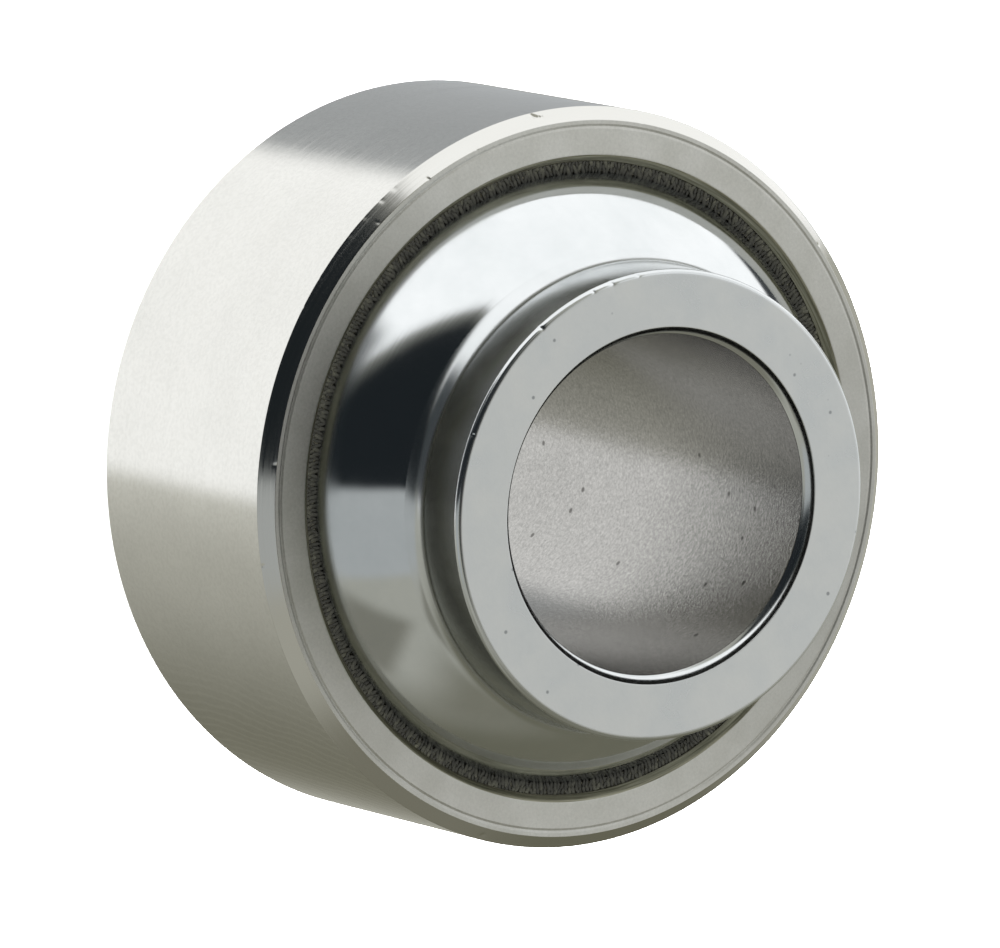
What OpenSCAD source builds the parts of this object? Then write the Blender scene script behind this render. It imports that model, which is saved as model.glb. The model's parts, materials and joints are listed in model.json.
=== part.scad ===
// Spherical plain bearing of the high misalignment kind: a ball with a long shoulder on each side
// turns in a woven liner, which is bonded in the spherical bore of a one-piece outer ring.
// The ball's bore lies along Z with the ball's centre at the origin, and the ball stands on its
// lower end. The ring sits a little out of line with the ball, turned about the X axis.

/* [Ball] */
// Diameter of the spherical surface
ball_diameter = 31.8; // [30:0.1:34]
// Length of the ball over both shoulders
ball_width = 30; // [27:0.5:36]
// Diameter of the bore that takes the bolt or shaft
bore_diameter = 16; // [14:0.1:18]
// Chamfer at each end of the bore
bore_chamfer = 0.45; // [0.2:0.05:0.8]
// Wall of a shoulder, from the bore to its outside
shoulder_wall = 3.05; // [2.2:0.05:3.4]
// Radius of the hollow corner between a shoulder and the sphere
shoulder_fillet = 1.6; // [0.8:0.1:2]
// Radius that rounds the outer rim of each end
rim_radius = 0.25; // [0.1:0.05:0.5]

/* [Liner] */
// Thickness of the woven liner with its bond
liner_thickness = 0.5; // [0.3:0.05:0.8]
// Distance that the liner's edge lies below the ring's face
liner_recess = 0.6; // [0.3:0.1:1]
// Gap between the ball and the liner that lets the ball turn
ball_clearance = 0.04; // [0.01:0.01:0.1]

/* [Outer ring] */
// Length of the outer ring along its axis
ring_width = 14.4; // [11:0.1:16]
// Wall of the ring where it is thinnest, over the middle of the ball
ring_wall = 1.06; // [0.8:0.02:2.4]
// Chamfer on the outside edges of the ring, at 45 degrees
ring_chamfer = 0.6; // [0.3:0.1:0.8]
// Angle from the axis at which the ring's mouth opens outside the liner
mouth_angle = 20; // [5:1:35]
// Flat land on the face between the chamfer and the fine groove
groove_land = 0.18; // [0.1:0.02:0.3]
// Width of the fine turned groove in each face
groove_width = 0.25; // [0.15:0.05:0.4]
// Depth of the fine turned groove
groove_depth = 0.08; // [0.04:0.02:0.14]

/* [Stance] */
// Angle between the ring and the ball as the bearing stands, about X
ring_tilt = 2.6; // [0:0.1:10]

/* [Hidden] */
$fn = 180;

ball_r = ball_diameter / 2;
ball_half = ball_width / 2;
bore_r = bore_diameter / 2;
shoulder_r = bore_r + shoulder_wall;
// The hollow corner's centre lies one fillet radius off both the shoulder and the sphere
fillet_x = shoulder_r + shoulder_fillet;
fillet_z = sqrt(pow(ball_r + shoulder_fillet, 2) - pow(fillet_x, 2));

liner_inner_r = ball_r + ball_clearance;
seat_r = liner_inner_r + liner_thickness;
ring_r = seat_r + ring_wall;
ring_half = ring_width / 2;
liner_half = ring_half - liner_recess;

seat_end_r = sqrt(pow(seat_r, 2) - pow(liner_half, 2));
mouth_r = seat_end_r + liner_recess * tan(mouth_angle);
face_outer_r = ring_r - ring_chamfer;
groove_outer_r = face_outer_r - groove_land;
groove_inner_r = groove_outer_r - groove_width;
// Cutters run this far past the surfaces that they open
cut = 0.3;

// One half of the ball's outline above the middle, with the shoulder and its two blends
module shoulder_profile() {
    square([shoulder_r - rim_radius, ball_half]);
    square([shoulder_r, ball_half - rim_radius]);
    translate([shoulder_r - rim_radius, ball_half - rim_radius])
        circle(r = rim_radius);
    difference() {
        polygon([[0, 0], [fillet_x, fillet_z], [0, fillet_z]]);
        translate([fillet_x, fillet_z])
            circle(r = shoulder_fillet);
    }
}

// The bore with the chamfer at its upper end
module bore_profile() {
    square([bore_r, ball_half + cut]);
    polygon([
        [0, ball_half - bore_chamfer],
        [bore_r, ball_half - bore_chamfer],
        [bore_r + bore_chamfer + cut, ball_half + cut],
        [0, ball_half + cut]
    ]);
}

module ball() {
    color("gainsboro")
        rotate_extrude()
            difference() {
                intersection() {
                    union() {
                        circle(r = ball_r);
                        for (side = [0, 1])
                            mirror([0, side])
                                shoulder_profile();
                    }
                    translate([0, -ball_half])
                        square([ball_r + cut, ball_width]);
                }
                for (side = [0, 1])
                    mirror([0, side])
                        bore_profile();
            }
}

module liner() {
    color("darkolivegreen")
        rotate([ring_tilt, 0, 0])
            rotate_extrude()
                intersection() {
                    difference() {
                        circle(r = seat_r);
                        circle(r = liner_inner_r);
                    }
                    translate([0, -liner_half])
                        square([ring_r, 2 * liner_half]);
                }
}

// The ring's section before its bore is cut, with the chamfers on the outside
module ring_blank_profile() {
    polygon([
        [0, -ring_half],
        [face_outer_r, -ring_half],
        [ring_r, ring_chamfer - ring_half],
        [ring_r, ring_half - ring_chamfer],
        [face_outer_r, ring_half],
        [0, ring_half]
    ]);
}

// The tapered mouth, carried on below the liner's edge so that it opens into the seat
module mouth_profile() {
    polygon([
        [0, liner_half - cut],
        [seat_end_r - cut * tan(mouth_angle), liner_half - cut],
        [mouth_r + cut * tan(mouth_angle), ring_half + cut],
        [0, ring_half + cut]
    ]);
}

// A shallow vee that is as wide as its name says at the face
module groove_profile() {
    polygon([
        [groove_inner_r, ring_half],
        [(groove_inner_r + groove_outer_r) / 2, ring_half - groove_depth],
        [groove_outer_r, ring_half],
        [groove_outer_r, ring_half + cut],
        [groove_inner_r, ring_half + cut]
    ]);
}

module outer_ring() {
    color("silver")
        rotate([ring_tilt, 0, 0])
            rotate_extrude()
                difference() {
                    ring_blank_profile();
                    intersection() {
                        circle(r = seat_r);
                        translate([0, -ring_half])
                            square([ring_r, ring_width]);
                    }
                    for (side = [0, 1])
                        mirror([0, side]) {
                            mouth_profile();
                            groove_profile();
                        }
                }
}

ball();
liner();
outer_ring();
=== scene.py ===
"""Dresses a spherical plain bearing: ball, woven liner and one-piece outer ring.

Laid out as an add-on with one operator a piece. The frame gives the bodies, the bore, the outside
seat and the ring's tilt, and the other sizes are the properties below.
"""
import json
import math

import bpy
import numpy as np
from bpy.props import FloatProperty, IntProperty, PointerProperty, StringProperty
from mathutils import Matrix, Vector


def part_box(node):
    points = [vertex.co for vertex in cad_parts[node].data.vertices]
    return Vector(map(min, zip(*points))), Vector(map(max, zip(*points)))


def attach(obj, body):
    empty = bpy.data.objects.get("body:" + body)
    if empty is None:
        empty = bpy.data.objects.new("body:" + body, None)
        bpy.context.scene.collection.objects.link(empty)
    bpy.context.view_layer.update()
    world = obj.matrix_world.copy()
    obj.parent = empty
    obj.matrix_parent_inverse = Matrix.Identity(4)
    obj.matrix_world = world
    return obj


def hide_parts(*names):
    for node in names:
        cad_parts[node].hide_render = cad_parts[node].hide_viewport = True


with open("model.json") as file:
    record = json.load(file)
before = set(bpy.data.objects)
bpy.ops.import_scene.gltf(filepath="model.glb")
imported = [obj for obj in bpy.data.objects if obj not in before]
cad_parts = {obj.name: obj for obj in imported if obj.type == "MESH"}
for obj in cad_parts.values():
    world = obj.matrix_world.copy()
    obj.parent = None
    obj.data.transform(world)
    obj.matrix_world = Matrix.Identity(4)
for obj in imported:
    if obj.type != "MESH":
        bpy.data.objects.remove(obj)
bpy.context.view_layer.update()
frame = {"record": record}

bl_info = {
    "name": "Spherical Plain Bearing",
    "version": (1, 0, 0),
    "blender": (4, 5, 0),
    "location": "View3D > Sidebar > Bearing",
    "description": "Builds a high misalignment spherical plain bearing piece by piece",
    "category": "Add Mesh",
}

MM = 0.001


def mount(name):
    """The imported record's mount of that name."""
    return next(entry for entry in frame["record"]["mounts"] if entry["name"] == name)


BORE = mount("bore")["dims"]
SEAT = mount("housing_seat")
RING_AXIS = Vector(SEAT["axis"]).normalized()
RING_TILT = math.atan2(-RING_AXIS.y, RING_AXIS.z)
RING_HALF = Vector(mount("ring_face_top")["pos_m"]).dot(RING_AXIS)
BALL_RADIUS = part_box("ball")[1].x
BALL_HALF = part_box("ball")[1].z


def length(name, default, description):
    """A size in metres, shown in Blender's own unit."""
    return FloatProperty(
        name=name, description=description, default=default, min=0.0, unit="LENGTH", subtype="DISTANCE"
    )


def hex_colour(name, default, description):
    """A colour written as sRGB hex."""
    return StringProperty(name=name, description=description, default=default)


class BallSettings(bpy.types.PropertyGroup):
    """Sizes and colours of the ball."""

    radius: length("Sphere radius", BALL_RADIUS, "Radius of the spherical surface")
    half_width: length("Half width", BALL_HALF, "Half of the length over both shoulders")
    bore_radius: length("Bore radius", BORE["r_mm"] * MM, "Radius of the bore")
    bore_chamfer: length("Bore chamfer", 0.36 * MM, "Width of the hollow chamfer at the bore's ends")
    shoulder_wall: length("Shoulder wall", 3.05 * MM, "Wall from the bore to the shoulder's outside")
    fillet: length("Fillet", 1.6 * MM, "Radius of the hollow corner between shoulder and sphere")
    rim_radius: length("Rim radius", 0.25 * MM, "Radius that rounds each end's outer rim")
    segments: IntProperty(name="Segments", description="Even steps round the ball", default=400, min=24)
    sphere_colour: hex_colour("Sphere", "#d0d3d4", "Polished steel of the sphere and shoulders")
    end_colour: hex_colour("Ends", "#c7c9c8", "Ground steel of the two ends")
    bore_colour: hex_colour("Bore", "#abaaa7", "Honed steel of the bore")


class LinerSettings(bpy.types.PropertyGroup):
    """Sizes and colours of the woven liner."""

    thickness: length("Thickness", 0.5 * MM, "Thickness of the cloth with its bond")
    recess: length("Recess", 0.34 * MM, "Depth of the liner's edge below the ring's face")
    clearance: length("Clearance", 0.04 * MM, "Running gap between the ball and the liner")
    thread_pitch: length("Thread pitch", 0.2 * MM, "Distance between the threads at the edge")
    seed: IntProperty(name="Seed", description="Seed of the threads' irregularity", default=4, min=0)
    resin_colour: hex_colour("Resin", "#33322a", "Dark resin that bonds the cloth")
    dark_thread_colour: hex_colour("Dark thread", "#191916", "Low friction thread")
    pale_thread_colour: hex_colour("Pale thread", "#2d2d25", "Olive reinforcing thread")


class RingSettings(bpy.types.PropertyGroup):
    """Sizes and colours of the outer ring."""

    radius: length("Outside radius", SEAT["dims"]["r_mm"] * MM, "Radius of the housing seat")
    half_width: length("Half width", RING_HALF, "Half of the ring's length")
    chamfer: length("Chamfer", RING_HALF - SEAT["dims"]["length_mm"] * MM / 2, "Outside chamfer")
    mouth_angle: FloatProperty(
        name="Mouth angle",
        description="Angle from the axis at which the mouth opens outside the liner",
        default=math.radians(38),
        subtype="ANGLE",
    )
    mouth_radius: length("Mouth radius", 0.22 * MM, "Radius that rounds the mouth into the face")
    groove_land: length("Groove land", 0.18 * MM, "Flat between the chamfer and the groove")
    groove_width: length("Groove width", 0.22 * MM, "Width of the fine turned groove")
    groove_depth: length("Groove depth", 0.035 * MM, "Depth of the fine turned groove")
    edge_radius: length("Edge radius", 0.04 * MM, "Radius to which the sharp edges are broken")
    segments: IntProperty(name="Segments", description="Even steps round the ring", default=400, min=24)
    outside_colour: hex_colour("Outside", "#cbcbc7", "Ground and polished outside")
    face_colour: hex_colour("Faces", "#c6c6c1", "Turned faces")
    mouth_colour: hex_colour("Mouths", "#adab98", "Turned walls of the two mouths")


class StageSettings(bpy.types.PropertyGroup):
    """The camera's place and the studio round the bearing."""

    azimuth: FloatProperty(
        name="Azimuth",
        description="Camera's turn about +Z",
        default=math.radians(138.62),
        subtype="ANGLE",
    )
    elevation: FloatProperty(
        name="Elevation",
        description="Camera's height above the horizon",
        default=math.radians(57.76),
        subtype="ANGLE",
    )
    roll: FloatProperty(
        name="Roll",
        description="Turn of +Z in the picture, clockwise from up",
        default=math.radians(105.06),
        subtype="ANGLE",
    )
    distance: length("Distance", 612.2 * MM, "Distance from the camera to the sphere's centre")
    floor_size: length("Floor size", 3.0, "Side of the square floor")
    lamp_size: length("Lamp size", 2.0, "Diameter of the lamp over the floor")
    lamp_height: length("Lamp height", 0.8, "Height of the lamp over the floor")
    lamp_power: FloatProperty(
        name="Lamp power", description="Power of the lamp over the floor", default=90.0, unit="POWER"
    )


# The photograph's frame, the sphere's centre in it, and the lens in pixels
PICTURE_WIDTH = 1000
PICTURE_HEIGHT = 948
SPHERE_PIXEL = (495.3, 461.5)
LENS_PIXELS = 12952
SENSOR_WIDTH = 36


def linear(hex_text):
    """The linear RGBA of an sRGB hex colour."""
    channels = [int(hex_text[i : i + 2], 16) / 255 for i in (1, 3, 5)]
    return [c / 12.92 if c <= 0.04045 else ((c + 0.055) / 1.055) ** 2.4 for c in channels] + [1.0]


def add_node(tree, kind, inputs=None, **settings):
    """Adds a node with its settings. An input takes a value, or another node's socket."""
    node = tree.nodes.new(kind)
    for name, value in settings.items():
        setattr(node, name, value)
    for key, value in (inputs or {}).items():
        socket = node.inputs[key]
        if isinstance(value, bpy.types.NodeSocket):
            tree.links.new(value, socket)
        else:
            socket.default_value = value
    return node


# Outlines: lists of (radius, height) points that run clockwise, so the solid lies on their right


def straight(start, end, steps, guard=0.04 * MM):
    """Points from start to end, with one close to each end so that a broken edge stays narrow."""
    start, end = np.array(start), np.array(end)
    share = min(guard / np.linalg.norm(end - start), 0.3)
    stops = [0.0, share] + [i / steps for i in range(1, steps)] + [1.0 - share, 1.0]
    return [tuple(start + (end - start) * t) for t in stops]


def arc(centre, radius, start, end, steps):
    """Points on an arc, with the angles in radians from the outward direction."""
    return [
        (
            centre[0] + radius * math.cos(start + (end - start) * i / steps),
            centre[1] + radius * math.sin(start + (end - start) * i / steps),
        )
        for i in range(steps + 1)
    ]


def broken_edge(before, corner, after, radius, steps=3):
    """Points that round a corner off, as a deburring pass does."""
    before, corner, after = (np.array(p) for p in (before, corner, after))
    into = (before - corner) / np.linalg.norm(before - corner)
    out = (after - corner) / np.linalg.norm(after - corner)
    half = math.acos(np.clip(into @ out, -1, 1)) / 2
    reach = radius / math.tan(half)
    middle = corner + (into + out) / np.linalg.norm(into + out) * radius / math.sin(half)
    first, last = corner + into * reach - middle, corner + out * reach - middle
    angle = math.acos(np.clip(first @ last / radius**2, -1, 1))
    points = []
    for i in range(steps + 1):
        t = i / steps
        share = (math.sin((1 - t) * angle) * first + math.sin(t * angle) * last) / math.sin(angle)
        points.append(tuple(middle + share))
    return points


def joined(*runs):
    """One outline from several runs, without the points that two neighbours share."""
    outline = []
    for run in runs:
        for point in run:
            if not outline or math.dist(point, outline[-1]) > 1e-7:
                outline.append(point)
    if math.dist(outline[0], outline[-1]) < 1e-7:
        outline.pop()
    return outline


def flipped(run):
    """The same run on the lower half, travelled the same way round."""
    return [(r, -z) for r, z in reversed(run)]


def revolve(name, outline, segments, tilt, finish_of, materials, nicks=()):
    """Turns an outline about the axis into a closed mesh, and presses the nicks in.

    finish_of(radius, height) names the finish of a face, and materials maps finishes to materials.
    The steps round the axis are even, with finer ones at each nick.
    """
    section = np.array(outline)
    angles = list(np.linspace(0, 2 * math.pi, segments, endpoint=False))
    for nick in nicks:
        angles += [math.radians(nick[0] + k * 0.15) for k in range(-4, 5)]
    angles = np.unique(np.round(np.mod(angles, 2 * math.pi), 4))
    segments = len(angles)
    points = np.empty((segments, len(section), 3))
    points[..., 0] = np.cos(angles)[:, None] * section[:, 0]
    points[..., 1] = np.sin(angles)[:, None] * section[:, 0]
    points[..., 2] = section[:, 1]
    press_nicks(points, nicks)
    turn = np.array(Matrix.Rotation(tilt, 3, "X"))
    flat = (points.reshape(-1, 3) @ turn.T).astype(np.float32)

    count = len(section)
    i, j = np.meshgrid(np.arange(segments), np.arange(count), indexing="ij")
    i_next, j_next = (i + 1) % segments, (j + 1) % count
    quads = np.stack([i * count + j, i * count + j_next, i_next * count + j_next, i_next * count + j], -1)
    quads = quads.reshape(-1, 4)

    mesh = bpy.data.meshes.new(name)
    mesh.vertices.add(len(flat))
    mesh.vertices.foreach_set("co", flat.ravel())
    mesh.loops.add(quads.size)
    mesh.loops.foreach_set("vertex_index", quads.ravel().astype(np.int32))
    mesh.polygons.add(len(quads))
    mesh.polygons.foreach_set("loop_start", np.arange(0, quads.size, 4, dtype=np.int32))
    mesh.update(calc_edges=True)
    mesh.validate()
    mesh.shade_smooth()

    finishes = list(materials)
    for finish in finishes:
        mesh.materials.append(materials[finish])
    middle = (section + np.roll(section, -1, 0)) / 2
    picked = np.array([finishes.index(finish_of(r, z)) for r, z in middle], dtype=np.int32)
    mesh.polygons.foreach_set("material_index", np.tile(picked, segments))
    piece = bpy.data.objects.new(name, mesh)
    bpy.context.scene.collection.objects.link(piece)
    return piece


def press_nicks(points, nicks):
    """Presses small dents in: each is (angle, radius, height, width, depth, direction)."""
    for angle, radius, height, width, depth, direction in nicks:
        turned = np.radians(angle)
        centre = np.array([radius * math.cos(turned), radius * math.sin(turned), height])
        push = np.array([direction[0] * math.cos(turned), direction[0] * math.sin(turned), direction[1]])
        distance = np.linalg.norm(points - centre, axis=2) / width
        points += (depth * np.exp(-(distance**2) * 2.5))[..., None] * push


# Finishes. Each starts as bare steel and gets what its last tool left on it


def steel(name, colour, roughness, grooved=0.0):
    """A bare steel: metallic, in the given colour, with the metal's default IOR.

    grooved is how far fine grooves round the axis spread the reflections across themselves.
    """
    material = bpy.data.materials.new(name)
    material.use_nodes = True
    tree = material.node_tree
    shader = tree.nodes["Principled BSDF"]
    shader.inputs["Base Color"].default_value = linear(colour)
    shader.inputs["Metallic"].default_value = 1.0
    shader.inputs["Roughness"].default_value = roughness
    if grooved:
        shader.inputs["Anisotropic"].default_value = grooved
        shader.inputs["Anisotropic Rotation"].default_value = 0.25
        along = add_node(tree, "ShaderNodeTangent", direction_type="RADIAL", axis="Z")
        tree.links.new(along.outputs["Tangent"], shader.inputs["Tangent"])
    return material, tree, shader


def object_millimetres(tree, tilt=0.0, stretch=(1.0, 1.0, 1.0)):
    """Object coordinates in millimetres, squared up to a piece that is tilted about X."""
    source = add_node(tree, "ShaderNodeTexCoord").outputs["Object"]
    square = add_node(
        tree,
        "ShaderNodeMapping",
        {"Vector": source, "Rotation": (-tilt, 0, 0), "Scale": (1 / MM, 1 / MM, 1 / MM)},
    )
    return add_node(
        tree, "ShaderNodeVectorMath", {0: square.outputs["Vector"], 1: stretch}, operation="MULTIPLY"
    ).outputs["Vector"]


def shade_between(tree, value, first, second):
    """A colour that goes from one sRGB hex colour to another as a noise value rises."""
    share = add_node(
        tree,
        "ShaderNodeMapRange",
        {"Value": value, "From Min": 0.3, "From Max": 0.7, "To Min": 0.0, "To Max": 1.0},
    ).outputs["Result"]
    return add_node(
        tree,
        "ShaderNodeMix",
        {"Factor": share, "A": linear(first), "B": linear(second)},
        data_type="RGBA",
    ).outputs["Result"]


def with_pits(tree, place, base, scale, rim, colour):
    """The base colour with scattered pits, each with a soft rim, scale of them a millimetre."""
    pits = add_node(tree, "ShaderNodeTexVoronoi", {"Vector": place, "Scale": scale, "Randomness": 1.0})
    mask = add_node(
        tree,
        "ShaderNodeMapRange",
        {
            "Value": pits.outputs["Distance"],
            "From Min": rim[0],
            "From Max": rim[1],
            "To Min": 1.0,
            "To Max": 0.0,
        },
    ).outputs["Result"]
    pitted = add_node(
        tree, "ShaderNodeMix", {"Factor": mask, "A": base, "B": linear(colour)}, data_type="RGBA"
    )
    return pitted.outputs["Result"]


def radial_vector(tree, vector, round_share):
    """(radius, height, 0) with a small share of the place round the axis, for turned lines."""
    parts = add_node(tree, "ShaderNodeSeparateXYZ", {"Vector": vector})
    flat = add_node(tree, "ShaderNodeCombineXYZ", {"X": parts.outputs["X"], "Y": parts.outputs["Y"]})
    radius = add_node(tree, "ShaderNodeVectorMath", {0: flat.outputs["Vector"]}, operation="LENGTH")
    lines = add_node(
        tree, "ShaderNodeCombineXYZ", {"X": radius.outputs["Value"], "Y": 0.0, "Z": parts.outputs["Z"]}
    )
    drift = add_node(
        tree, "ShaderNodeVectorMath", {0: flat.outputs["Vector"], "Scale": round_share}, operation="SCALE"
    )
    return add_node(
        tree,
        "ShaderNodeVectorMath",
        {0: lines.outputs["Vector"], 1: drift.outputs["Vector"]},
        operation="ADD",
    ).outputs["Vector"]


def across_ring(tree):
    """How far a place is from the ring's middle plane, in millimetres."""
    place = object_millimetres(tree, RING_TILT)
    height = add_node(tree, "ShaderNodeSeparateXYZ", {"Vector": place}).outputs["Z"]
    return add_node(tree, "ShaderNodeMath", {0: height}, operation="ABSOLUTE").outputs["Value"]


def polished_ball_steel(name, colour, smooth, hazy, rubbed_haze):
    """Through-hardened bearing steel, ground and then lapped or polished.

    The sphere is a mirror with soft edges, and the shoulders, out of the lap's reach, are hazier.
    Close to, both show a faint haze, hairlines and a few pits. Next to the liner the sphere is
    rubbed dull, so what it mirrors there runs together.
    """
    material, tree, shader = steel(name, colour, smooth)
    place = object_millimetres(tree)
    haze = add_node(
        tree,
        "ShaderNodeTexNoise",
        {"Vector": place, "Scale": 0.35, "Detail": 4.0, "Roughness": 0.6},
    ).outputs["Fac"]
    base = shade_between(tree, haze, colour, "#c8cccd")
    pitted = with_pits(tree, place, base, 0.32, (0.015, 0.028), "#4c4d4d")
    tree.links.new(pitted, shader.inputs["Base Color"])
    rubbed = add_node(
        tree,
        "ShaderNodeMapRange",
        {
            "Value": across_ring(tree),
            "From Min": 6.8,
            "From Max": 8.0,
            "To Min": rubbed_haze,
            "To Max": 0.0,
        },
    ).outputs["Result"]
    clear = add_node(
        tree,
        "ShaderNodeMapRange",
        {"Value": haze, "From Min": 0.3, "From Max": 0.7, "To Min": smooth, "To Max": hazy},
    ).outputs["Result"]
    roughness = add_node(tree, "ShaderNodeMath", {0: clear, 1: rubbed}, operation="ADD").outputs["Value"]
    tree.links.new(roughness, shader.inputs["Roughness"])
    lines = add_node(
        tree,
        "ShaderNodeTexNoise",
        {"Vector": radial_vector(tree, place, 0.02), "Scale": 9.0, "Detail": 2.0},
    ).outputs["Fac"]
    waves = add_node(
        tree,
        "ShaderNodeTexNoise",
        {"Vector": place, "Scale": 0.22, "Detail": 2.0},
    ).outputs["Fac"]
    ripple = add_node(
        tree,
        "ShaderNodeBump",
        {"Height": waves, "Distance": 0.05 * MM, "Strength": 0.2},
    ).outputs["Normal"]
    tree.links.new(
        add_node(
            tree,
            "ShaderNodeBump",
            {"Height": lines, "Distance": 0.002 * MM, "Strength": 0.25, "Normal": ripple},
        ).outputs["Normal"],
        shader.inputs["Normal"],
    )
    return material


def ground_end_steel(colour):
    """Bearing steel ground flat on the ends: satin, faintly blue, with a few tiny pits."""
    material, tree, shader = steel("Ground bearing steel ends", colour, 0.3)
    place = object_millimetres(tree)
    grain = add_node(
        tree,
        "ShaderNodeTexNoise",
        {"Vector": place, "Scale": 7.0, "Detail": 3.0, "Roughness": 0.6},
    ).outputs["Fac"]
    clouds = add_node(
        tree,
        "ShaderNodeTexNoise",
        {"Vector": place, "Scale": 0.5, "Detail": 3.0},
    ).outputs["Fac"]
    base = shade_between(tree, clouds, "#b3b6b6", colour)
    pitted = with_pits(tree, place, base, 0.75, (0.05, 0.085), "#8d9091")
    tree.links.new(pitted, shader.inputs["Base Color"])
    tree.links.new(
        add_node(
            tree,
            "ShaderNodeMapRange",
            {"Value": clouds, "From Min": 0.3, "From Max": 0.7, "To Min": 0.26, "To Max": 0.36},
        ).outputs["Result"],
        shader.inputs["Roughness"],
    )
    tree.links.new(
        add_node(
            tree,
            "ShaderNodeBump",
            {"Height": grain, "Distance": 0.006 * MM, "Strength": 0.35},
        ).outputs["Normal"],
        shader.inputs["Normal"],
    )
    return material


def honed_bore_steel(colour):
    """Bearing steel honed in the bore: fine lines round the bore, a dry grain and a few pits."""
    material, tree, shader = steel("Honed bearing steel bore", colour, 0.18, 0.35)
    place = object_millimetres(tree)
    round_lines = add_node(
        tree,
        "ShaderNodeTexNoise",
        {
            "Vector": object_millimetres(tree, 0.0, (0.09, 0.09, 1.0)),
            "Scale": 9.0,
            "Detail": 3.0,
            "Roughness": 0.6,
        },
    ).outputs["Fac"]
    grain = add_node(
        tree,
        "ShaderNodeTexNoise",
        {"Vector": place, "Scale": 6.0, "Detail": 4.0, "Roughness": 0.75},
    ).outputs["Fac"]
    clouds = add_node(
        tree,
        "ShaderNodeTexNoise",
        {"Vector": place, "Scale": 0.3, "Detail": 1.0},
    ).outputs["Fac"]
    base = shade_between(tree, grain, "#848481", colour)
    pitted = with_pits(tree, place, base, 0.55, (0.05, 0.09), "#5c5b58")
    tree.links.new(pitted, shader.inputs["Base Color"])
    tree.links.new(
        add_node(
            tree,
            "ShaderNodeMapRange",
            {"Value": clouds, "From Min": 0.3, "From Max": 0.7, "To Min": 0.15, "To Max": 0.21},
        ).outputs["Result"],
        shader.inputs["Roughness"],
    )
    grained = add_node(
        tree,
        "ShaderNodeBump",
        {"Height": grain, "Distance": 0.018 * MM, "Strength": 0.6},
    ).outputs["Normal"]
    tree.links.new(
        add_node(
            tree,
            "ShaderNodeBump",
            {"Height": round_lines, "Distance": 0.003 * MM, "Strength": 0.25, "Normal": grained},
        ).outputs["Normal"],
        shader.inputs["Normal"],
    )
    return material


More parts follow.
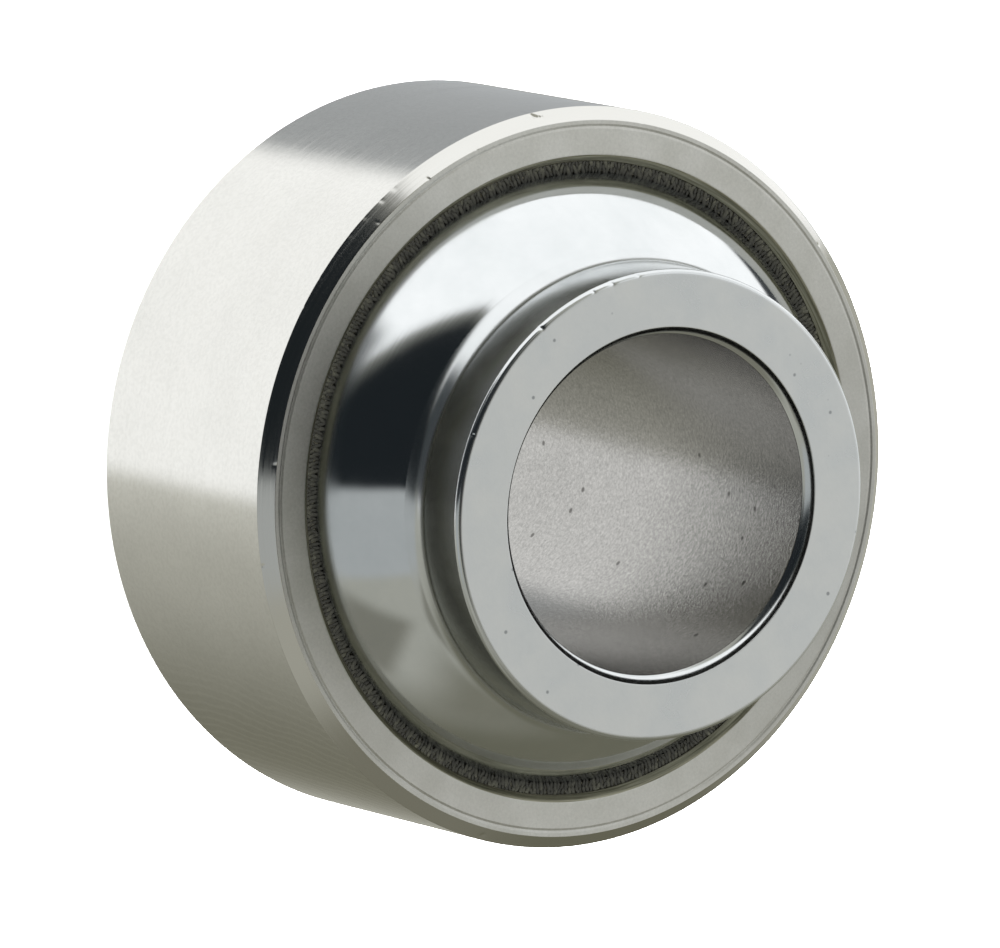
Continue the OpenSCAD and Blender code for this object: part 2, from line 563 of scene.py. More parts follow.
def ground_ring_steel(colour):
    """Ring steel ground and polished outside: lines run round it, with a patch of chatter.

    The chatter is a run of faint bowed marks 0.6 mm apart, on one side only, from the last grind.
    """
    material, tree, shader = steel("Polished ring steel outside", colour, 0.13, 0.4)
    place = object_millimetres(tree, RING_TILT)
    lines = add_node(
        tree,
        "ShaderNodeTexNoise",
        {
            "Vector": object_millimetres(tree, RING_TILT, (0.012, 0.012, 1.0)),
            "Scale": 8.0,
            "Detail": 3.0,
            "Roughness": 0.6,
        },
    ).outputs["Fac"]
    clouds = add_node(
        tree,
        "ShaderNodeTexNoise",
        {"Vector": place, "Scale": 0.3, "Detail": 3.0},
    ).outputs["Fac"]
    specks = add_node(
        tree,
        "ShaderNodeTexNoise",
        {"Vector": place, "Scale": 5.0, "Detail": 2.0},
    ).outputs["Fac"]
    parts = add_node(tree, "ShaderNodeSeparateXYZ", {"Vector": place}).outputs
    angle = add_node(
        tree, "ShaderNodeMath", {0: parts["Y"], 1: parts["X"]}, operation="ARCTAN2"
    ).outputs["Value"]
    from_edge = add_node(
        tree, "ShaderNodeMath", {0: parts["Z"], 1: 6.0}, operation="ADD"
    ).outputs["Value"]
    bow = add_node(tree, "ShaderNodeMath", {0: from_edge, 1: 2.0}, operation="POWER").outputs["Value"]
    turned = add_node(tree, "ShaderNodeMath", {0: angle, 1: 17.5}, operation="MULTIPLY").outputs["Value"]
    place_in_run = add_node(
        tree, "ShaderNodeMath", {0: bow, 1: -0.011, 2: turned}, operation="MULTIPLY_ADD"
    ).outputs["Value"]
    strayed = add_node(
        tree, "ShaderNodeMath", {0: clouds, 1: 1.5, 2: place_in_run}, operation="MULTIPLY_ADD"
    ).outputs["Value"]
    cycle = add_node(
        tree, "ShaderNodeMath", {0: strayed, 1: 2 * math.pi / 0.6}, operation="MULTIPLY"
    ).outputs["Value"]
    marks = add_node(tree, "ShaderNodeMath", {0: cycle}, operation="SINE").outputs["Value"]
    begins = add_node(
        tree,
        "ShaderNodeMapRange",
        {
            "Value": angle,
            "From Min": math.radians(92),
            "From Max": math.radians(108),
            "To Min": 0.0,
            "To Max": 1.0,
        },
    ).outputs["Result"]
    ends = add_node(
        tree,
        "ShaderNodeMapRange",
        {
            "Value": angle,
            "From Min": math.radians(122),
            "From Max": math.radians(140),
            "To Min": 1.0,
            "To Max": 0.0,
        },
    ).outputs["Result"]
    patch = add_node(
        tree, "ShaderNodeMath", {0: begins, 1: ends}, operation="MULTIPLY"
    ).outputs["Value"]
    chatter = add_node(
        tree, "ShaderNodeMath", {0: marks, 1: patch}, operation="MULTIPLY"
    ).outputs["Value"]
    base = shade_between(tree, clouds, "#c7c7c3", colour)
    marked = add_node(
        tree,
        "ShaderNodeMix",
        {
            "Factor": add_node(
                tree,
                "ShaderNodeMapRange",
                {"Value": chatter, "From Min": 0.0, "From Max": 1.0, "To Min": 0.0, "To Max": 0.16},
            ).outputs["Result"],
            "A": base,
            "B": linear("#ffffff"),
        },
        data_type="RGBA",
    )
    speckled = add_node(
        tree,
        "ShaderNodeMix",
        {
            "Factor": add_node(
                tree,
                "ShaderNodeMapRange",
                {"Value": specks, "From Min": 0.36, "From Max": 0.6, "To Min": 0.07, "To Max": 0.0},
            ).outputs["Result"],
            "A": marked.outputs["Result"],
            "B": linear("#77776f"),
        },
        data_type="RGBA",
    )
    tree.links.new(speckled.outputs["Result"], shader.inputs["Base Color"])
    tree.links.new(
        add_node(
            tree,
            "ShaderNodeMapRange",
            {"Value": lines, "From Min": 0.3, "From Max": 0.7, "To Min": 0.09, "To Max": 0.17},
        ).outputs["Result"],
        shader.inputs["Roughness"],
    )
    waved = add_node(
        tree,
        "ShaderNodeBump",
        {"Height": chatter, "Distance": 0.0006 * MM, "Strength": 1.0},
    ).outputs["Normal"]
    tree.links.new(
        add_node(
            tree,
            "ShaderNodeBump",
            {"Height": lines, "Distance": 0.002 * MM, "Strength": 0.35, "Normal": waved},
        ).outputs["Normal"],
        shader.inputs["Normal"],
    )
    return material


def chamfer_steel(colour):
    """Ring steel turned and polished on the chamfers: near mirror, with lines along the edge."""
    material, tree, shader = steel("Polished ring steel chamfer", colour, 0.12)
    lines = add_node(
        tree,
        "ShaderNodeTexNoise",
        {
            "Vector": radial_vector(tree, object_millimetres(tree, RING_TILT), 0.02),
            "Scale": 10.0,
            "Detail": 2.0,
        },
    ).outputs["Fac"]
    tree.links.new(
        add_node(
            tree,
            "ShaderNodeMapRange",
            {"Value": lines, "From Min": 0.3, "From Max": 0.7, "To Min": 0.09, "To Max": 0.18},
        ).outputs["Result"],
        shader.inputs["Roughness"],
    )
    tree.links.new(
        add_node(
            tree,
            "ShaderNodeBump",
            {"Height": lines, "Distance": 0.002 * MM, "Strength": 0.4},
        ).outputs["Normal"],
        shader.inputs["Normal"],
    )
    return material


def turned_face_steel(colour):
    """Ring steel turned on the faces and blasted after swaging: satin with a fine dry grain.

    The grain is drawn at 0.17 mm, coarser than the real one, as coarse as it needs to be to show.
    """
    material, tree, shader = steel("Satin ring steel faces", colour, 0.38, 0.75)
    place = object_millimetres(tree, RING_TILT)
    grain = add_node(
        tree,
        "ShaderNodeTexNoise",
        {"Vector": place, "Scale": 6.0, "Detail": 4.0, "Roughness": 0.75},
    ).outputs["Fac"]
    turning = add_node(
        tree,
        "ShaderNodeTexNoise",
        {"Vector": radial_vector(tree, place, 0.02), "Scale": 12.0, "Detail": 2.0},
    ).outputs["Fac"]
    clouds = add_node(
        tree,
        "ShaderNodeTexNoise",
        {"Vector": place, "Scale": 0.6, "Detail": 3.0},
    ).outputs["Fac"]
    base = shade_between(tree, clouds, "#bcbcb6", colour)
    speckled = add_node(
        tree,
        "ShaderNodeMix",
        {
            "Factor": add_node(
                tree,
                "ShaderNodeMapRange",
                {"Value": grain, "From Min": 0.3, "From Max": 0.7, "To Min": 0.3, "To Max": 0.0},
            ).outputs["Result"],
            "A": base,
            "B": linear("#6f6f6a"),
        },
        data_type="RGBA",
    )
    tree.links.new(speckled.outputs["Result"], shader.inputs["Base Color"])
    tree.links.new(
        add_node(
            tree,
            "ShaderNodeMapRange",
            {"Value": grain, "From Min": 0.3, "From Max": 0.7, "To Min": 0.34, "To Max": 0.44},
        ).outputs["Result"],
        shader.inputs["Roughness"],
    )
    rings = add_node(
        tree,
        "ShaderNodeBump",
        {"Height": turning, "Distance": 0.003 * MM, "Strength": 0.4},
    ).outputs["Normal"]
    tree.links.new(
        add_node(
            tree,
            "ShaderNodeBump",
            {"Height": grain, "Distance": 0.008 * MM, "Strength": 0.4, "Normal": rings},
        ).outputs["Normal"],
        shader.inputs["Normal"],
    )
    return material


def turned_mouth_steel(colour):
    """Ring steel left as turned in the mouth: clear lathe lines round the wall, dull between."""
    material, tree, shader = steel("As-turned ring steel mouth", colour, 0.5)
    lines = add_node(
        tree,
        "ShaderNodeTexNoise",
        {
            "Vector": radial_vector(tree, object_millimetres(tree, RING_TILT), 0.03),
            "Scale": 14.0,
            "Detail": 2.0,
        },
    ).outputs["Fac"]
    base = shade_between(tree, lines, "#6c6b5b", colour)
    tree.links.new(base, shader.inputs["Base Color"])
    tree.links.new(
        add_node(
            tree,
            "ShaderNodeBump",
            {"Height": lines, "Distance": 0.012 * MM, "Strength": 0.7},
        ).outputs["Normal"],
        shader.inputs["Normal"],
    )
    return material


def cloth(name, dark, pale, inner_radius, outer_radius):
    """Woven low friction cloth: dull dark threads, some olive, each a little different.

    The attribute thread_tint is random for each thread, and picks how olive it is. The threads are
    painted darker towards the ball: a painted shade of the gap next to the ball.
    """
    material = bpy.data.materials.new(name)
    material.use_nodes = True
    tree = material.node_tree
    shader = tree.nodes["Principled BSDF"]
    shader.inputs["Roughness"].default_value = 0.75
    shader.inputs["Specular IOR Level"].default_value = 0.2
    place = object_millimetres(tree, RING_TILT)
    fibres = add_node(
        tree,
        "ShaderNodeTexNoise",
        {"Vector": place, "Scale": 10.0, "Detail": 3.0, "Roughness": 0.7},
    ).outputs["Fac"]
    random = add_node(tree, "ShaderNodeAttribute", attribute_name="thread_tint").outputs["Fac"]
    patch = add_node(
        tree,
        "ShaderNodeTexNoise",
        {"Vector": place, "Scale": 2.5, "Detail": 2.0},
    ).outputs["Fac"]
    mixed = add_node(tree, "ShaderNodeMath", {0: random, 1: patch}, operation="MULTIPLY").outputs["Value"]
    factor = add_node(
        tree,
        "ShaderNodeMapRange",
        {"Value": mixed, "From Min": 0.2, "From Max": 0.65, "To Min": 0.0, "To Max": 1.0},
    ).outputs["Result"]
    base = add_node(
        tree,
        "ShaderNodeMix",
        {"Factor": factor, "A": linear(dark), "B": linear(pale)},
        data_type="RGBA",
    ).outputs["Result"]
    darkened = add_node(
        tree,
        "ShaderNodeMix",
        {
            "Factor": add_node(
                tree,
                "ShaderNodeMapRange",
                {"Value": fibres, "From Min": 0.3, "From Max": 0.7, "To Min": 0.75, "To Max": 0.0},
            ).outputs["Result"],
            "A": base,
            "B": linear("#121210"),
        },
        data_type="RGBA",
    )
    parts = add_node(tree, "ShaderNodeSeparateXYZ", {"Vector": place}).outputs
    flat = add_node(tree, "ShaderNodeCombineXYZ", {"X": parts["X"], "Y": parts["Y"]})
    radius = add_node(tree, "ShaderNodeVectorMath", {0: flat.outputs["Vector"]}, operation="LENGTH")
    # Painted shade: the threads darken by radius towards the ball, standing in for the shade of the gap
    # there
    painted_gap_shade = add_node(
        tree,
        "ShaderNodeMix",
        {
            "Factor": add_node(
                tree,
                "ShaderNodeMapRange",
                {
                    "Value": radius.outputs["Value"],
                    "From Min": inner_radius / MM,
                    "From Max": outer_radius / MM,
                    "To Min": 0.85,
                    "To Max": 0.0,
                },
            ).outputs["Result"],
            "A": darkened.outputs["Result"],
            "B": linear("#11110f"),
        },
        data_type="RGBA",
    )
    tree.links.new(painted_gap_shade.outputs["Result"], shader.inputs["Base Color"])
    tree.links.new(
        add_node(
            tree,
            "ShaderNodeBump",
            {"Height": fibres, "Distance": 0.02 * MM, "Strength": 0.6},
        ).outputs["Normal"],
        shader.inputs["Normal"],
    )
    return material


def bonding_resin(colour):
    """Cured resin between liner and ring: dark, slightly glossy, with ragged fibre ends in it."""
    material = bpy.data.materials.new("Cured bonding resin")
    material.use_nodes = True
    tree = material.node_tree
    shader = tree.nodes["Principled BSDF"]
    shader.inputs["Roughness"].default_value = 0.6
    ragged = add_node(
        tree,
        "ShaderNodeTexNoise",
        {"Vector": object_millimetres(tree, RING_TILT), "Scale": 5.0, "Detail": 4.0, "Roughness": 0.7},
    ).outputs["Fac"]
    base = shade_between(tree, ragged, "#16150f", colour)
    tree.links.new(base, shader.inputs["Base Color"])
    tree.links.new(
        add_node(
            tree,
            "ShaderNodeBump",
            {"Height": ragged, "Distance": 0.08 * MM, "Strength": 0.9},
        ).outputs["Normal"],
        shader.inputs["Normal"],
    )
    return material


# Pieces


def ball_outline(size):
    """The ball's section: bore, hollow chamfers, ends, rims, shoulders, fillets and sphere."""
    bore, half, rim = size.bore_radius, size.half_width, size.rim_radius
    shoulder = bore + size.shoulder_wall
    fillet_radius = shoulder + size.fillet
    fillet_height = math.sqrt((size.radius + size.fillet) ** 2 - fillet_radius**2)
    meet = math.atan2(fillet_height, fillet_radius)
    shallow, steep = math.radians(-60), math.radians(-10)
    hollow = size.bore_chamfer / (math.cos(steep) - math.cos(shallow))
    hollow_middle = (bore - hollow * math.cos(shallow), half - hollow * math.sin(steep))
    chamfer = arc(hollow_middle, hollow, shallow, steep, 8)
    rim_middle = (shoulder - rim, half - rim)
    edge = 0.03 * MM
    upper_edge = broken_edge(chamfer[-2], chamfer[-1], (shoulder, half), edge)
    upper = joined(
        broken_edge((bore, 0), chamfer[0], chamfer[1], edge),
        chamfer[1:-1],
        upper_edge,
        straight(upper_edge[-1], (shoulder - rim, half), 8),
        arc(rim_middle, rim, math.pi / 2, 0.0, 7),
        straight((shoulder, half - rim), (shoulder, fillet_height), 5),
        arc((fillet_radius, fillet_height), size.fillet, math.pi, math.pi + meet, 12),
        arc((0, 0), size.radius, meet, 0.0, 40),
    )
    lower = flipped(upper)
    return joined(straight(lower[-1], upper[0], 8), upper, lower)


def ball_finish(size):
    """Gives the finish of a place on the ball's section."""
    bore, half = size.bore_radius, size.half_width
    end = half - 0.01 * MM
    inside = bore + 0.01 * MM
    fillet_radius = bore + size.shoulder_wall + size.fillet
    shoulder_end = fillet_radius * size.radius / (size.radius + size.fillet)

    def finish_of(radius, height):
        if abs(height) > end:
            return "end"
        if radius < inside:
            return "bore"
        return "shoulder" if radius < shoulder_end else "sphere"

    return finish_of


class BEARING_OT_ball(bpy.types.Operator):
    """Make the ball with its two shoulders and its bore"""

    bl_idname = "bearing.ball"
    bl_label = "Ball"

    def execute(self, context):
        size = context.scene.bearing_ball
        colour = size.sphere_colour
        materials = {
            "sphere": polished_ball_steel("Lapped bearing steel", colour, 0.055, 0.1, 0.17),
            "shoulder": polished_ball_steel("Polished bearing steel shoulder", colour, 0.15, 0.22, 0.0),
            "end": ground_end_steel(size.end_colour),
            "bore": honed_bore_steel(size.bore_colour),
        }
        shoulder = size.bore_radius + size.shoulder_wall
        rim = (shoulder - 0.07 * MM, size.half_width - 0.07 * MM)
        nicks = [
            (angle, *rim, width * MM, depth * MM, (-0.7, -0.7))
            for angle, width, depth in RIM_NICKS
        ]
        piece = revolve(
            "dressed_ball",
            ball_outline(size),
            size.segments,
            0.0,
            ball_finish(size),
            materials,
            nicks,
        )
        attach(piece, "ball")
        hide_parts("ball")
        return {"FINISHED"}


# Nicks seen on the ball's upper rim: angle about +Z in degrees, width and depth in millimetres
RIM_NICKS = (
    (343.0, 0.16, 0.05),
    (350.5, 0.2, 0.06),
    (356.0, 0.14, 0.04),
    (12.5, 0.18, 0.05),
    (44.0, 0.14, 0.04),
)

# Nicks seen on the ring's upper chamfer: angle in degrees, share of the way from the chamfer's
# outer edge to its inner one, width and depth in millimetres. Those from 340.6 to 343.5 make one
# V-shaped tick.
CHAMFER_NICKS = (
    (282.4, 1.0, 0.13, 0.018),
    (301.2, 1.0, 0.11, 0.018),
    (323.7, 1.0, 0.14, 0.021),
    (340.6, 0.52, 0.12, 0.015),
    (341.2, 0.5, 0.12, 0.03),
    (341.8, 0.46, 0.13, 0.045),
    (342.3, 0.42, 0.13, 0.06),
    (342.8, 0.36, 0.14, 0.07),
    (343.2, 0.26, 0.15, 0.07),
    (343.5, 0.1, 0.13, 0.05),
    (355.5, 1.0, 0.13, 0.012),
    (5.4, 0.95, 0.12, 0.018),
    (10.6, 0.0, 0.24, 0.006),
    (13.4, 0.05, 0.2, 0.007),
    (16.6, 0.8, 0.12, 0.01),
    (17.2, 0.0, 0.22, 0.006),
    (20.9, 0.05, 0.18, 0.007),
    (24.6, 0.0, 0.24, 0.006),
    (29.0, 0.0, 0.22, 0.009),
    (34.0, 0.0, 0.2, 0.018),
    (46.0, 1.0, 0.13, 0.018),
    (51.0, 0.0, 0.16, 0.02),
    (59.0, 1.0, 0.16, 0.021),
    (74.7, 0.1, 0.12, 0.03),
    (138.0, 0.4, 0.16, 0.03),
)


def ring_outline(size, seat_radius, liner_half):
    """The ring's section: seat, mouths, faces with their grooves, chamfers and outside."""
    half, outside, edge = size.half_width, size.radius, size.edge_radius
    seat_end = math.sqrt(seat_radius**2 - liner_half**2)
    mouth = seat_end + (half - liner_half) * math.tan(size.mouth_angle)
    face_end = outside - size.chamfer
    groove_outer = face_end - size.groove_land
    groove_inner = groove_outer - size.groove_width
    groove_floor = ((groove_inner + groove_outer) / 2, half - size.groove_depth)
    corners = [
        (seat_end, liner_half),
        (mouth, half),
        (groove_inner, half),
        groove_floor,
        (groove_outer, half),
        (face_end, half),
        (outside, half - size.chamfer),
        (outside, 0.0),
    ]
    radii = [size.mouth_radius, edge / 2, edge * 1.5, edge / 2, edge, edge]
    steps = [5, 8, 2, 2, 2, 9, 8]
    runs = []
    start = corners[0]
    for index, radius in enumerate(radii, 1):
        rounded = broken_edge(corners[index - 1], corners[index], corners[index + 1], radius, 4)
        runs += [straight(start, rounded[0], steps[index - 1], edge / 2), rounded]
        start = rounded[-1]
    runs.append(straight(start, corners[-1], steps[-1], edge / 2))
    upper = joined(*runs)
    reach = math.atan2(liner_half, seat_end)
    seat = arc((0, 0), seat_radius, -reach, reach, 16)
    return joined(seat, upper, flipped(upper))


def ring_finish(size):
    """Gives the finish of a place on the ring's section."""
    half, outside, chamfer = size.half_width, size.radius, size.chamfer
    touch = 0.012 * MM
    groove_outer = outside - chamfer - size.groove_land
    groove_inner = groove_outer - size.groove_width

    def finish_of(radius, height):
        if radius > outside - touch:
            return "outside"
        if radius + abs(height) > outside + half - chamfer - touch:
            return "chamfer"
        deepest = half - touch
        if groove_inner < radius < groove_outer:
            deepest -= size.groove_depth
        return "face" if abs(height) > deepest else "mouth"

    return finish_of


class BEARING_OT_ring(bpy.types.Operator):
    """Make the one-piece outer ring"""

    bl_idname = "bearing.ring"
    bl_label = "Outer ring"

    def execute(self, context):
        size = context.scene.bearing_ring
        liner = context.scene.bearing_liner
        ball = context.scene.bearing_ball
        seat_radius = ball.radius + liner.clearance + liner.thickness
        liner_half = size.half_width - liner.recess
        materials = {
            "outside": ground_ring_steel(size.outside_colour),
            "chamfer": chamfer_steel(size.outside_colour),
            "face": turned_face_steel(size.face_colour),
            "mouth": turned_mouth_steel(size.mouth_colour),
        }
        nicks = []
        for angle, share, width, depth in CHAMFER_NICKS:
            radius = size.radius - size.chamfer * share
            height = size.half_width - size.chamfer * (1 - share)
            nicks.append((angle, radius, height, width * MM, depth * MM, (-0.7, -0.7)))
        piece = revolve(
            "dressed_outer_ring",
            ring_outline(size, seat_radius, liner_half),
            size.segments,
            RING_TILT,
            ring_finish(size),
            materials,
            nicks,
        )
        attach(piece, "ring")
        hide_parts("outer_ring")
        return {"FINISHED"}


def liner_outline(inner, outer, half, sunk):
    """The bonded cloth's section, with its edges sunk below the threads' tops."""
    edge = half - sunk
    inner_end = math.atan2(edge, math.sqrt(inner**2 - edge**2))
    outer_end = math.atan2(edge, math.sqrt(outer**2 - edge**2))
    inner_run = arc((0, 0), inner, -inner_end, inner_end, 30)
    outer_run = arc((0, 0), outer, outer_end, -outer_end, 30)
    top = straight(inner_run[-1], outer_run[0], 4)
    return joined(inner_run, top, outer_run, flipped(top))


def thread_tree(material):
    """Geometry Nodes: short threads laid side by side round one edge of the liner.

    Each thread lies across the edge. Rows of them alternate over and under, as in the weave.
    """
    tree = bpy.data.node_groups.new("edge_threads", "GeometryNodeTree")
    face = tree.interface
    face.new_socket("Geometry", in_out="OUTPUT", socket_type="NodeSocketGeometry")
    for name, kind in THREAD_INPUTS.items():
        face.new_socket(name, in_out="INPUT", socket_type=kind)
    given = tree.nodes.new("NodeGroupInput").outputs
    circle = add_node(
        tree,
        "GeometryNodeCurvePrimitiveCircle",
        {"Resolution": given["Count"], "Radius": given["Row radius"]},
    )
    raised = add_node(
        tree, "ShaderNodeCombineXYZ", {"X": 0.0, "Y": 0.0, "Z": given["Row height"]}
    )
    index = add_node(tree, "GeometryNodeInputIndex")
    odd = add_node(
        tree, "ShaderNodeMath", {0: index.outputs["Index"], 1: 2.0}, operation="MODULO"
    ).outputs["Value"]
    over = add_node(
        tree, "ShaderNodeMath", {0: odd, 1: given["Over"]}, operation="MULTIPLY"
    ).outputs["Value"]
    stray = add_node(
        tree,
        "FunctionNodeRandomValue",
        {"Seed": given["Seed"]},
        data_type="FLOAT_VECTOR",
    )
    stray.inputs["Min"].default_value = (-1.0, -1.0, -1.0)
    stray.inputs["Max"].default_value = (1.0, 1.0, 0.2)
    strayed = add_node(
        tree,
        "ShaderNodeVectorMath",
        {0: stray.outputs["Value"], "Scale": given["Stray"]},
        operation="SCALE",
    )
    lift = add_node(tree, "ShaderNodeCombineXYZ", {"X": 0.0, "Y": 0.0, "Z": over})
    offset = add_node(
        tree,
        "ShaderNodeVectorMath",
        {0: raised.outputs["Vector"], 1: lift.outputs["Vector"]},
        operation="SUBTRACT",
    )
    moved = add_node(
        tree,
        "ShaderNodeVectorMath",
        {0: offset.outputs["Vector"], 1: strayed.outputs["Vector"]},
        operation="ADD",
    )
    placed = add_node(
        tree,
        "GeometryNodeSetPosition",
        {"Geometry": circle.outputs["Curve"], "Offset": moved.outputs["Vector"]},
    )
    thread = add_node(tree, "GeometryNodeMeshUVSphere", {"Segments": 6, "Rings": 5, "Radius": 0.5})
    smooth = add_node(tree, "GeometryNodeSetShadeSmooth", {"Geometry": thread.outputs["Mesh"]})
    along = add_node(tree, "GeometryNodeInputTangent")
    facing = add_node(
        tree,
        "FunctionNodeAlignRotationToVector",
        {"Vector": along.outputs["Tangent"]},
        axis="Y",
        pivot_axis="Z",
    )
    turn = add_node(
        tree, "FunctionNodeRandomValue", {"Seed": given["Seed"]}, data_type="FLOAT_VECTOR"
    )
    turn.inputs["Min"].default_value = (-0.3, -0.35, -0.45)
    turn.inputs["Max"].default_value = (0.3, 0.35, 0.45)
    turned = add_node(
        tree,
        "FunctionNodeRotateRotation",
        {"Rotation": facing.outputs["Rotation"], "Rotate By": turn.outputs["Value"]},
        rotation_space="LOCAL",
    )
    size_spread = add_node(
        tree, "FunctionNodeRandomValue", {"Seed": given["Seed"]}, data_type="FLOAT"
    )
    size_spread.inputs[2].default_value = 0.75
    size_spread.inputs[3].default_value = 1.15
    scale = add_node(
        tree,
        "ShaderNodeVectorMath",
        {0: given["Thread size"], "Scale": size_spread.outputs[1]},
        operation="SCALE",
    )
    instances = add_node(
        tree,
        "GeometryNodeInstanceOnPoints",
        {
            "Points": placed.outputs["Geometry"],
            "Instance": smooth.outputs["Geometry"],
            "Rotation": turned.outputs["Rotation"],
            "Scale": scale.outputs["Vector"],
        },
    )
    tint_value = add_node(tree, "FunctionNodeRandomValue", {"Seed": given["Seed"]}, data_type="FLOAT")
    marked = add_node(
        tree,
        "GeometryNodeStoreNamedAttribute",
        {
            "Geometry": instances.outputs["Instances"],
            "Name": "thread_tint",
            "Value": tint_value.outputs[1],
        },
        data_type="FLOAT",
        domain="INSTANCE",
    )
    real = add_node(tree, "GeometryNodeRealizeInstances", {"Geometry": marked.outputs["Geometry"]})
    finished = add_node(
        tree, "GeometryNodeSetMaterial", {"Geometry": real.outputs["Geometry"], "Material": material}
    )
    output = tree.nodes.new("NodeGroupOutput")
    tree.links.new(finished.outputs["Geometry"], output.inputs["Geometry"])
    return tree


THREAD_INPUTS = {
    "Count": "NodeSocketInt",
    "Row radius": "NodeSocketFloat",
    "Row height": "NodeSocketFloat",
    "Over": "NodeSocketFloat",
    "Stray": "NodeSocketFloat",
    "Thread size": "NodeSocketVector",
    "Seed": "NodeSocketInt",
}


def thread_row(tree, values):
    """Runs the thread tree with the given inputs and returns the result as a plain mesh."""
    carrier = bpy.data.objects.new("row", bpy.data.meshes.new("row"))
    bpy.context.scene.collection.objects.link(carrier)
    modifier = carrier.modifiers.new("threads", "NODES")
    modifier.node_group = tree
    sockets = {
        item.name: item.identifier for item in tree.interface.items_tree if item.in_out == "INPUT"
    }
    for name, value in values.items():
        modifier[sockets[name]] = value
    graph = bpy.context.evaluated_depsgraph_get()
    mesh = bpy.data.meshes.new_from_object(carrier.evaluated_get(graph), depsgraph=graph)
    carrier.modifiers.remove(modifier)
    bpy.data.objects.remove(carrier)
    return mesh


class BEARING_OT_liner(bpy.types.Operator):
    """Make the bonded liner and the threads that show at its two edges"""

    bl_idname = "bearing.liner"
    bl_label = "Woven liner"

    def execute(self, context):
        size = context.scene.bearing_liner
        ring = context.scene.bearing_ring
        ball = context.scene.bearing_ball
        inner = ball.radius + size.clearance
        outer = inner + size.thickness
        half = ring.half_width - size.recess
        sunk = 0.15 * MM
        resin = bonding_resin(size.resin_colour)
        base = revolve(
            "dressed_liner",
            liner_outline(inner + 0.01 * MM, outer, half, sunk),
            720,
            RING_TILT,
            lambda radius, height: "resin",
            {"resin": resin},
        )
        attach(base, "ring")
        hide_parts("liner")

        inner_end = math.sqrt(inner**2 - half**2)
        outer_end = math.sqrt(outer**2 - half**2)
        weave = cloth(
            "Woven low friction cloth",
            size.dark_thread_colour,
            size.pale_thread_colour,
            inner_end,
            outer_end,
        )
        tree = thread_tree(weave)
        rows = 2
        thread = (outer_end - inner_end) / rows
        parts = []
        for side in (0, 1):
            for row in range(rows):
                radius = inner_end + thread * (row + 0.5) + 0.03 * MM
                values = {
                    "Count": round(2 * math.pi * radius / size.thread_pitch),
                    "Row radius": radius,
                    "Row height": half - 0.08 * MM,
                    "Over": 0.02 * MM,
                    "Stray": 0.02 * MM,
                    "Thread size": (thread * 2.2, size.thread_pitch * 1.1, 0.12 * MM),
                    "Seed": size.seed + row + rows * side,
                }
                mesh = thread_row(tree, values)
                mesh.transform(Matrix.Rotation(RING_TILT + math.pi * side, 4, "X"))
                parts.append(mesh)
        threads = merged("liner_threads", parts)
        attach(threads, "ring")
        return {"FINISHED"}


def merged(name, meshes):
    """One object from several meshes that share a material."""
    parts = []
    for mesh in meshes:
        part = bpy.data.objects.new(name, mesh)
        bpy.context.scene.collection.objects.link(part)
        parts.append(part)
    with bpy.context.temp_override(
        active_object=parts[0],
        object=parts[0],
        selected_objects=parts,
        selected_editable_objects=parts,
    ):
        bpy.ops.object.join()
    parts[0].name = name
    return parts[0]


# The studio, seen from the bearing: each card is a patch of the surround with straight edges.
# A corner is (degrees away from the camera, degrees round from the picture's right, upwards).
# Corners run counterclockwise in the picture, and a later card lies in front of an earlier one.
CARDS = (
    ("left wall", "#fbfaf4", 1.15, 22.0, ((84, 190), (84, 150), (160, 150), (160, 200), (112, 193))),
    (
        "overhead softbox",
        "#ffffff",
        1.46,
        2.0,
        ((80, 188.6), (54, 90), (90, 21.7), (155, 25), (172, 110), (120, 187)),
    ),
    ("grey ceiling", "#eef2f5", 0.58, 2.5, ((132, 119), (127, 90), (140, 50), (170, 40), (172, 140))),
    ("dark pole", "#dce6ec", 0.08, 1.2, ((139, 47), (141, 27), (150, 27), (143, 44))),
    ("side softbox", "#fdfefe", 1.17, 8.0, ((59, -25), (92, -20), (120, 5), (80, 50), (56, 40))),
    ("camera side", "#f0f2f2", 0.07, 8.0, ((10, 215), (42, -75), (50, -15), (42, 45), (15, 100))),
    ("dark bench", "#f1eed0", 0.22, 14.0, ((95, 320), (93, 218), (165, 218), (150, 330))),
    ("low shelf", "#f2efd8", 0.29, 10.0, ((62, 258), (100, 254), (112, 300), (95, -40), (58, -36))),
    ("grey screen", "#d6e0e6", 0.1, 5.0, ((60, 186), (60, 130), (98, 140), (98, 186))),
    ("black flag", "#c8dcea", 0.03, 5.0, ((68, 197), (17, -35), (56, 80), (68, 171))),
    ("pale wall", "#f0f4f4", 0.62, 1.8, ((75, 186.7), (72, 215), (45, 238), (15, 222), (18.8, 208))),
    ("warm screen", "#f4f1df", 0.31, 3.0, ((72.9, 218.4), (87.2, 231.6), (89.5, 243.9), (64.1, 242.9))),
)
ROOM_COLOUR = "#f2f1e4"
ROOM_STRENGTH = 0.58


def studio_direction(away, around):
    """A unit vector in the picture's axes: right, up and towards the camera."""
    away, around = math.radians(away), math.radians(around)
    return Vector((math.sin(away) * math.cos(around), math.sin(away) * math.sin(around), math.cos(away)))


def picture_axes(size):
    """The picture's right, up and backward axes in the part's own frame."""
    back = Vector(
        (
            math.sin(size.azimuth) * math.cos(size.elevation),
            -math.cos(size.azimuth) * math.cos(size.elevation),
            math.sin(size.elevation),
        )
    )
    level = Vector((0, 0, 1)).cross(back).normalized()
    raised = back.cross(level)
    up = raised * math.cos(size.roll) - level * math.sin(size.roll)
    right = level * math.cos(size.roll) + raised * math.sin(size.roll)
    return right, up, back


